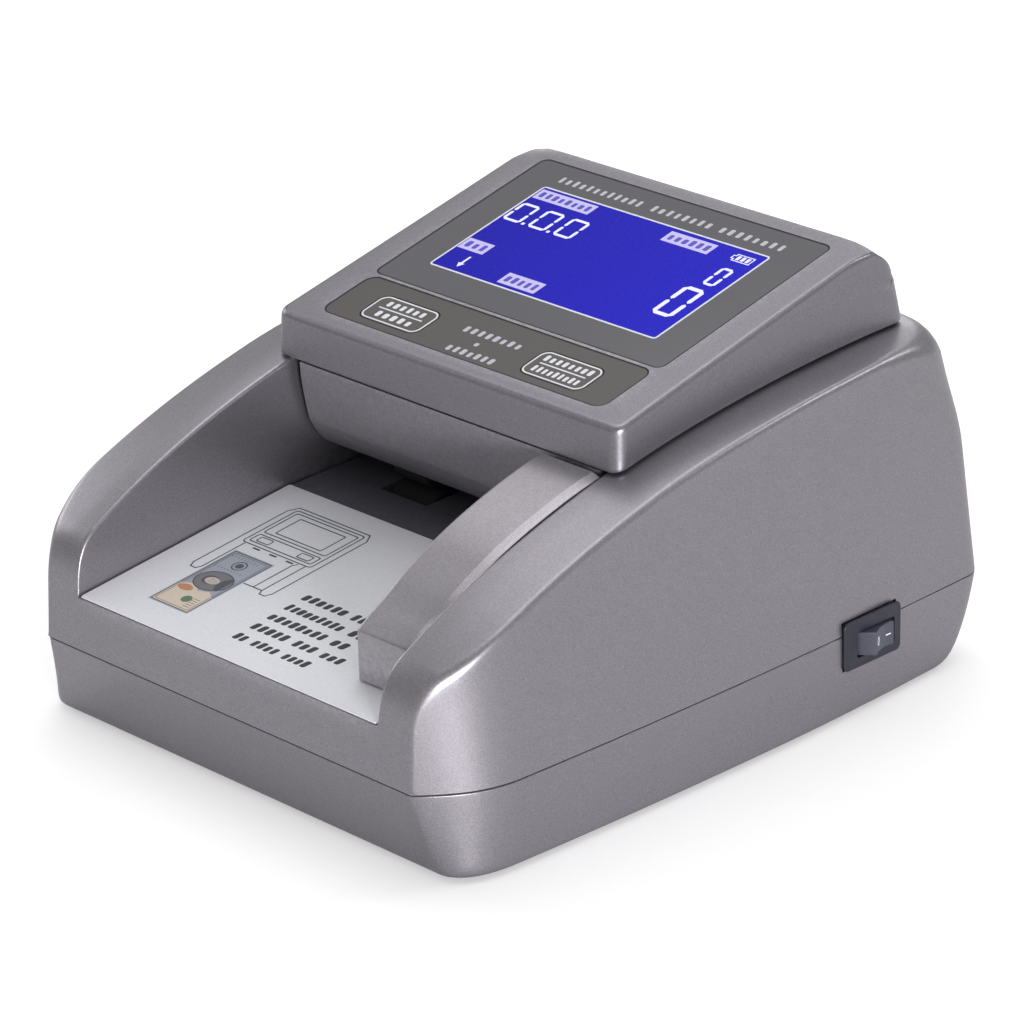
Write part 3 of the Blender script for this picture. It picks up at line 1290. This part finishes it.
class Ink:
    """Collects flat marks between two levels over a plane into one thin piece."""

    def __init__(self, plane, low, high):
        self.plane, self.low, self.high = plane, low, high
        self.bm = bmesh.new()

    def row(self, points, level):
        return [self.bm.verts.new((x, y, level)) for x, y in points]

    def poly(self, *outlines):
        for points in outlines:
            if sum(a[0] * b[1] - b[0] * a[1] for a, b in zip(points, points[1:] + points[:1])) < 0:
                points = points[::-1]
            low, high = self.row(points, self.low), self.row(points, self.high)
            self.bm.faces.new(low[::-1])
            self.bm.faces.new(high)
            skin(self.bm, [low, high], around=True)

    def rects(self, *boxes):
        self.poly(*(box(*b) for b in boxes))

    def ring(self, outer, width):
        """A closed line of even width inside an outline."""
        inner = inset_loop(outer, width)
        outer_low, outer_high = self.row(outer, self.low), self.row(outer, self.high)
        inner_low, inner_high = self.row(inner, self.low), self.row(inner, self.high)
        loops = [outer_low, outer_high, inner_high, inner_low]
        for i in range(len(outer)):
            j = (i + 1) % len(outer)
            for a, b in zip(loops, loops[1:] + loops[:1]):
                self.bm.faces.new((a[i], a[j], b[j], b[i]))

    def line(self, points, width):
        """An open line of even width, mitred at its bends."""
        last = len(points) - 1
        left, right = [], []
        for i in range(last + 1):
            a, p, b = (Vector(points[j]) for j in (max(i - 1, 0), i, min(i + 1, last)))
            e1 = (p - a).normalized() if i else (b - p).normalized()
            e2 = (b - p).normalized() if i < last else e1
            m = Vector((-e1.y - e2.y, e1.x + e2.x)).normalized()
            k = width / 2 / max(0.4, m.dot(Vector((-e1.y, e1.x))))
            left.append(tuple(p + m * k))
            right.append(tuple(p - m * k))
        for i in range(last):
            self.poly([right[i], right[i + 1], left[i + 1], left[i]])

    def word(self, x0, x1, y, height, count, fill, seed, lean=0.0):
        """Plain chamfered blocks, one for each character, in place of lettering."""
        draw = random.Random(seed)
        pitch = (x1 - x0) / count
        for i in range(count):
            w = pitch * fill * draw.uniform(0.86, 1.08) / 2
            cx = x0 + pitch * (i + 0.5)
            tall = height * draw.choice((1.0, 1.0, 0.9, 0.84))
            b = min(2 * w, tall) * 0.22
            low, high = y - height / 2, y - height / 2 + tall
            points = [(cx - w + b, low), (cx + w - b, low), (cx + w, low + b), (cx + w, high - b),
                      (cx + w - b, high), (cx - w + b, high), (cx - w, high - b),
                      (cx - w, low + b)]
            self.poly([(px + (py - y) * lean, py) for px, py in points])

    def zero(self, x0, x1, y0, y1, s):
        """A nought of six segments, each s wide."""
        gap = s * 0.18
        middle = (y0 + y1) / 2

        def level(y):
            a, b = s * 0.35 + gap, s * 0.85 + gap
            return [(x0 + a, y), (x0 + b, y + s / 2), (x1 - b, y + s / 2), (x1 - a, y),
                    (x1 - b, y - s / 2), (x0 + b, y - s / 2)]

        def upright(x, a, b):
            c = s * 0.5 + gap
            return [(x, a + gap), (x + s / 2, a + c), (x + s / 2, b - c), (x, b - gap),
                    (x - s / 2, b - c), (x - s / 2, a + c)]
        left, right, foot, head = x0 + s / 2, x1 - s / 2, y0 + s * 0.3, y1 - s * 0.3
        self.poly(level(y1 - s / 2), upright(right, middle, head), upright(right, foot, middle),
                  level(y0 + s / 2), upright(left, foot, middle), upright(left, middle, head))

    def done(self, name, material, body, slot):
        bmesh.ops.transform(self.bm, matrix=self.plane, verts=self.bm.verts)
        bmesh.ops.recalc_face_normals(self.bm, faces=self.bm.faces)
        bmesh.ops.transform(self.bm, matrix=WORLD, verts=self.bm.verts)
        register(new_object(name, self.bm), material, body, sharp=20)


def print_window():
    """Dark lines round window and key panel, the display's border and the header words."""
    for name, area, grow, r, width, low, high in (
            ("window_edge_line", WINDOW_BOX, 0.16, 1.85, 0.26, -0.30, -0.035),
            ("panel_edge_line", PANEL_BOX, 0.14, 2.55, 0.22, -0.36, -0.07)):
        ink = Ink(HEAD_PLANE, low, high)
        ink.ring(grown(area, grow, r), width)
        ink.done(name, BLACK, "head", "dark_plastic")
    ink = Ink(HEAD_PLANE, -0.05, -0.025)
    ink.ring(rounded(-LCD_HW - 0.55, LCD_HW + 0.1, LCD_V0 + 0.05, LCD_V1 + 0.35, 0.9, 4), 0.42)
    ink.done("lcd_border", WHITE, "head", "window")
    ink = Ink(HEAD_PLANE, -0.05, -0.025)
    for x0, x1, count, seed in ((-30.8, -7.1, 12, 3), (-4.9, 12.2, 8, 4), (13.8, 31.7, 8, 5)):
        ink.word(x0, x1, 134.7, 2.1, count, fill=0.46, seed=seed)
    ink.done("window_print", LETTERING, "head", "window")


# Bright tags on the display: x from, to, y from, to, characters
LCD_TAGS = ((-30.8, -15.1, 126.6, 130.1, 8), (5.7, 18.3, 126.0, 129.7, 6),
            (-30.9, -23.8, 104.9, 108.8, 3), (-13.4, -3.2, 98.6, 102.5, 5))


def print_lcd():
    ink = Ink(HEAD_PLANE, -0.05, -0.032)
    ink.poly(rounded(-LCD_HW - 0.1, LCD_HW - 0.35, LCD_V0 + 0.5, LCD_V1 - 0.1, 0.4, 3))
    ink.done("lcd_field", LCD, "head", "lcd")
    ink = Ink(HEAD_PLANE, -0.032, -0.020)
    ink.rects(*(tag[:4] for tag in LCD_TAGS))
    ink.done("lcd_tags", TAG, "head", "lcd")
    ink = Ink(HEAD_PLANE, -0.020, -0.010)
    for i, (x0, x1, y0, y1, count) in enumerate(LCD_TAGS):
        ink.word(x0 + 0.5, x1 - 0.5, (y0 + y1) / 2, (y1 - y0) * 0.56, count, fill=0.6, seed=20 + i)
    ink.done("lcd_tag_marks", TAG_MARK, "head", "lcd")
    ink = Ink(HEAD_PLANE, -0.032, -0.018)
    # three noughts with points between them, then two more at the right
    for i, x in enumerate((-30.7, -23.6, -16.5)):
        ink.zero(x, x + 4.9, 117.5, 124.4, 0.72)
        if i < 2:
            ink.rects((x + 5.5, x + 6.25, 117.5, 118.25))
    ink.zero(24.9, 28.1, 117.2, 123.9, 0.72)
    ink.zero(22.9, 28.3, 104.5, 115.4, 1.05)
    # battery sign with three bars
    ink.ring([(24.2, 126.6), (28.9, 126.6), (28.9, 129.1), (24.2, 129.1), (24.2, 128.5),
              (23.6, 128.5), (23.6, 127.2), (24.2, 127.2)], 0.26)
    ink.rects(*((24.9 + 1.25 * i, 25.7 + 1.25 * i, 127.1, 128.6) for i in range(3)))
    # arrow pointing down
    ink.rects((-25.55, -25.05, 100.4, 103.2))
    ink.poly([(-26.15, 100.6), (-25.3, 99.1), (-24.45, 100.6)])
    ink.done("lcd_segments", SEGMENT, "head", "lcd")


def print_keys():
    ink = Ink(HEAD_PLANE, -0.08, -0.055)
    for x0, x1, y, height, count, fill, seed in ((-6.9, 9.4, 82.7, 1.9, 8, 0.54, 7),
                                                 (-0.7, 0.9, 79.4, 1.3, 1, 0.7, 8),
                                                 (-5.2, 8.3, 76.1, 1.9, 7, 0.54, 9)):
        ink.word(x0, x1, y, height, count, fill, seed)
    ink.done("panel_print", LETTERING, "head", "panel_film")
    for tag, side, upper, lower, w in (("left", -1, 6, 5, 5.6), ("right", 1, 8, 9, 6.7)):
        ink = Ink(HEAD_PLANE, -0.05, -0.022)
        cx = side * KEY_X
        ink.ring(grown(key_box(side), -0.2, 2.0), 0.36)
        ink.rects((cx - 6.1, cx + 6.1, KEY_V - 0.05, KEY_V + 0.3))
        ink.word(cx - w, cx + w, KEY_V + 1.95, 1.9, upper, fill=0.56, seed=11 + upper)
        ink.word(cx - w + 0.3, cx + w - 0.3, KEY_V - 1.8, 1.9, lower, fill=0.56, seed=31 + lower)
        ink.done(f"key_{tag}_print", WHITE, f"{tag}_key", "panel_film")


# Text rows on the label: y, words of (x from, to, characters)
LABEL_ROWS = ((26.0, ((-4.9, 7.4, 6), (8.9, 14.9, 3))), (21.5, ((-4.9, 11.2, 9), (12.9, 17.5, 2))),
              (17.1, ((-4.9, 11.0, 8), (12.6, 17.2, 2))),
              (12.7, ((-4.9, 5.2, 5), (6.8, 13.0, 3), (14.5, 20.6, 3))),
              (8.2, ((-4.9, -1.4, 2), (0.1, 7.3, 4), (8.8, 15.8, 4))))
# Plan view of the machine: open lines, then rounded boxes (x from, to, y from, to, radius, steps)
DIAGRAM_LINES = (
    ((-30.9, 22.9), (-31.5, 21.7), (-33.0, 21.7), (-33.7, 23.2), (-33.7, 48.2), (-32.4, 50.4),
     (-12.0, 50.4), (-10.7, 48.2), (-10.7, 23.2), (-11.4, 21.7), (-12.9, 21.7), (-13.5, 22.9)),
    ((-30.9, 22.9), (-30.9, 34.3)), ((-13.5, 22.9), (-13.5, 34.3)),
    ((-18.7, 22.9), (-13.5, 22.9)), ((-16.0, 22.9), (-16.0, 33.0), (-15.3, 34.2)))
DIAGRAM_BOXES = ((-32.2, -12.2, 34.4, 49.6, 0.9, 4), (-31.2, -13.2, 35.4, 38.6, 0.6, 3),
                 (-29.9, -26.2, 36.0, 38.0, 0.5, 3), (-18.2, -14.5, 36.0, 38.0, 0.5, 3),
                 (-31.2, -13.2, 39.3, 48.7, 0.6, 3), (-28.9, -15.5, 40.3, 47.4, 0.4, 3))


def label_ink(low, high):
    return Ink(LABEL_PLANE, LABEL_TOP + low, LABEL_TOP + high)


def print_label():
    ink = label_ink(0, 0.02)
    for j, (y, words) in enumerate(LABEL_ROWS):
        for i, (x0, x1, count) in enumerate(words):
            ink.word(x0, x1, y, 2.35, count, fill=0.72, seed=50 + 7 * j + i, lean=0.12)
    ink.done("label_text_blocks", INK, "base", "label")
    ink = label_ink(0, 0.018)
    width = 0.30
    for points in DIAGRAM_LINES:
        ink.line(points, width)
    for outline in DIAGRAM_BOXES:
        ink.ring(rounded(*outline), width)
    ink.rects(*((x, x + 2.0, 33.5, 34.0) for x in (-28.0, -23.2, -18.4)))
    ink.done("label_diagram", DIAGRAM, "base", "label")


def print_patch(name, material, low, high, *outlines):
    ink = label_ink(low, high)
    ink.poly(*outlines)
    ink.done(f"note_picture_{name}", material, "base", "label")


def print_note():
    """A made-up note in thin layers; its bust lies with the crown to the label's left."""
    print_patch("paper", NOTE_PAPER, 0, 0.020, box(-30.2, -18.9, 8.2, 31.2))
    print_patch("warm", NOTE_CREAM, 0.020, 0.026,
                [(-29.7, 8.7), (-19.4, 8.7), (-19.4, 15.2), (-21.6, 16.6), (-24.0, 15.6),
                 (-26.6, 17.4), (-29.7, 16.2)])
    print_patch("blotch", NOTE_RUST, 0.026, 0.032, ellipse(-27.2, 15.3, 1.9, 1.1, 24))
    print_patch("seal", NOTE_SEAL, 0.026, 0.032, ellipse(-23.4, 12.2, 1.2, 1.2, 24))
    # borders, round emblem, medallion rim and small ticks
    ink = label_ink(0.032, 0.038)
    ink.ring(rounded(-29.9, -19.2, 8.5, 30.9, 0.3, 2), 0.24)
    ink.ring(rounded(-29.3, -19.8, 9.1, 30.3, 0.3, 2), 0.12)
    ink.ring(ellipse(-24.5, 27.0, 1.7, 1.7), 0.3)
    ink.poly(ellipse(-24.5, 27.0, 0.9, 0.9))
    ink.ring(ellipse(-24.3, 20.0, 4.6, 3.7, 36), 0.3)
    for i in range(9):
        x0, x1 = -29.0 + 0.9 * i, -28.86 + 0.9 * i
        ink.rects((x0, x1, 24.4, 25.0), (x0, x1, 29.0, 29.6))
    ink.rects(*((-22.2, -20.4, 10.0 + 0.75 * i, 10.14 + 0.75 * i) for i in range(5)))
    ink.done("note_picture_ink", NOTE_INK, "base", "label")
    print_patch("medallion", NOTE_MID, 0.020, 0.026, ellipse(-24.3, 20.0, 4.3, 3.4, 36))
    # shoulders and hair, then the face
    print_patch("bust", NOTE_INK, 0.026, 0.031,
                [(-20.7, 17.4), (-21.8, 17.6), (-22.5, 18.6), (-22.7, 19.3), (-22.7, 20.7),
                 (-22.5, 21.4), (-21.8, 22.4), (-20.7, 22.6)], ellipse(-25.2, 20.0, 1.95, 1.6))
    print_patch("face", NOTE_FACE, 0.031, 0.036, ellipse(-24.65, 20.0, 1.8, 1.24))
    # eyes and brows, nose and mouth
    features = []
    for y in (20.0 - 0.46, 20.0 + 0.46):
        features += [ellipse(-24.8, y, 0.09, 0.18, 10), box(-25.16, -25.08, y - 0.24, y + 0.24)]
    features += [box(-24.7, -24.2, 19.96, 20.04), box(-23.8, -23.71, 19.68, 20.32)]
    print_patch("features", NOTE_INK, 0.036, 0.040, *features)


def print_rocker():
    """Ring and bar on the rocker's tipped face."""
    base = (Matrix.Translation((ROCKER_X, ROCKER_Y, ROCKER_Z))
            @ Matrix.Rotation(ROCKER_TILT, 4, "Z"))
    for tag, y in (("off", -1.9), ("on", 1.9)):
        x = DISH_REACH + DISH_RISE * (y / DISH_HALF) ** 2
        tip = math.atan(2 * DISH_RISE * (y / DISH_HALF) / DISH_HALF)
        ink = Ink(base @ Matrix.Translation((x, y, 0)) @ Matrix.Rotation(-tip, 4, "Z") @ YZ,
                  -0.02, 0.035)
        if tag == "off":
            ink.ring(ellipse(0, 0, 0.62, 0.95, 24), 0.24)
        else:
            ink.rects((-0.75, 0.75, -0.13, 0.13))
        ink.done(f"rocker_mark_{tag}", WHITE, "rocker", "switch_plastic")


# ------------------------------------------------------------------ stage, light and camera, metres
# Area lights: name, place, height of the aim point, size, watts
LIGHTS = (("light_top", (-0.35, 0.35, 1.05), 0.035, (0.9, 0.9), 3.4),
          ("light_over", (0, 0, 1.3), 0.035, (0.8, 0.8), 1.65),
          ("light_left", (-1.1, -0.1, 0.5), 0.035, (0.6, 0.5), 2.4),
          ("light_rear", (-0.85, 1.05, 0.45), 0.035, (0.6, 0.5), 1.6),
          ("light_side", (1.05, -0.55, 0.16), 0.035, (0.35, 0.2), 11.5),
          ("light_edge", (0.42, 0.74, 0.78), 0.05, (0.22, 0.22), 1.1))
CAMERA_PLACE = (0.638139, -0.616990, 0.413502)
CAMERA_YAW, CAMERA_PITCH, CAMERA_ROLL = map(math.radians, (45.93, 23.0, -1.27))


def build_floor():
    """One level sheet, larger than any view of the machine takes in."""
    bm = bmesh.new()
    half, steps = 9.0, 6
    ticks = [-half + 2 * half * i / steps for i in range(steps + 1)]
    strip(bm, [[(x, y, 0) for x in ticks] for y in ticks])
    floor = new_object("floor", bm)
    floor.data.materials.append(floor_white())


def add_lights():
    for name, place, aim_z, size, watts in LIGHTS:
        light = bpy.data.lights.new(name, "AREA")
        light.shape = "RECTANGLE"
        light.size, light.size_y = size
        light.energy = watts
        ob = bpy.data.objects.new(name, light)
        bpy.context.scene.collection.objects.link(ob)
        ob.location = place
        ob.rotation_mode = "QUATERNION"
        aim = Vector((0, 0, aim_z)) - Vector(place)
        ob.rotation_quaternion = aim.to_track_quat("-Z", "Y")


def build_world():
    """The room is white to the camera and a soft grey as a light."""
    world = bpy.data.worlds.new("studio")
    bpy.context.scene.world = world
    world.use_nodes = True
    tree = world.node_tree
    sky = tree.nodes["Background"]
    sky.inputs["Color"].default_value = (1.0, 1.0, 1.0, 1.0)
    seen = tree.nodes.new("ShaderNodeLightPath")
    level = tree.nodes.new("ShaderNodeMapRange")
    level.name = "room_level"
    tree.links.new(seen.outputs["Is Camera Ray"], level.inputs["Value"])
    level.inputs["To Min"].default_value = 0.37
    level.inputs["To Max"].default_value = 1.0
    tree.links.new(level.outputs[0], sky.inputs["Strength"])
    bpy.context.scene.view_settings.view_transform = "Standard"


def add_camera():
    camera = bpy.data.cameras.new("camera")
    camera.sensor_width = 36.0
    camera.lens = 172.09
    camera.clip_start, camera.clip_end = 0.05, 20.0
    ob = bpy.data.objects.new("camera", camera)
    bpy.context.scene.collection.objects.link(ob)
    sin_yaw, cos_yaw = math.sin(CAMERA_YAW), math.cos(CAMERA_YAW)
    sin_roll, cos_roll = math.sin(CAMERA_ROLL), math.cos(CAMERA_ROLL)
    back = Vector((sin_yaw * math.cos(CAMERA_PITCH), -cos_yaw * math.cos(CAMERA_PITCH),
                   math.sin(CAMERA_PITCH)))
    right = Vector((cos_yaw, sin_yaw, 0))
    up = back.cross(right)
    right, up = right * cos_roll + up * sin_roll, -right * sin_roll + up * cos_roll
    turn = Matrix((right, up, back)).transposed().to_4x4()
    ob.matrix_world = Matrix.Translation(CAMERA_PLACE) @ turn
    bpy.context.scene.camera = ob


for build in (dress_cad, build_bottom_shell, build_top_shell, build_seam, build_hinge_blocks,
              build_head, build_guide, build_nose, build_label, build_window_and_keys,
              build_switch, build_rocker, print_window, print_lcd, print_keys, print_label,
              print_note, print_rocker):
    build()


def reorder_free_floor():
    """Rows of the floor run along y, one row for each x."""


build_floor()
add_lights()
build_world()
add_camera()
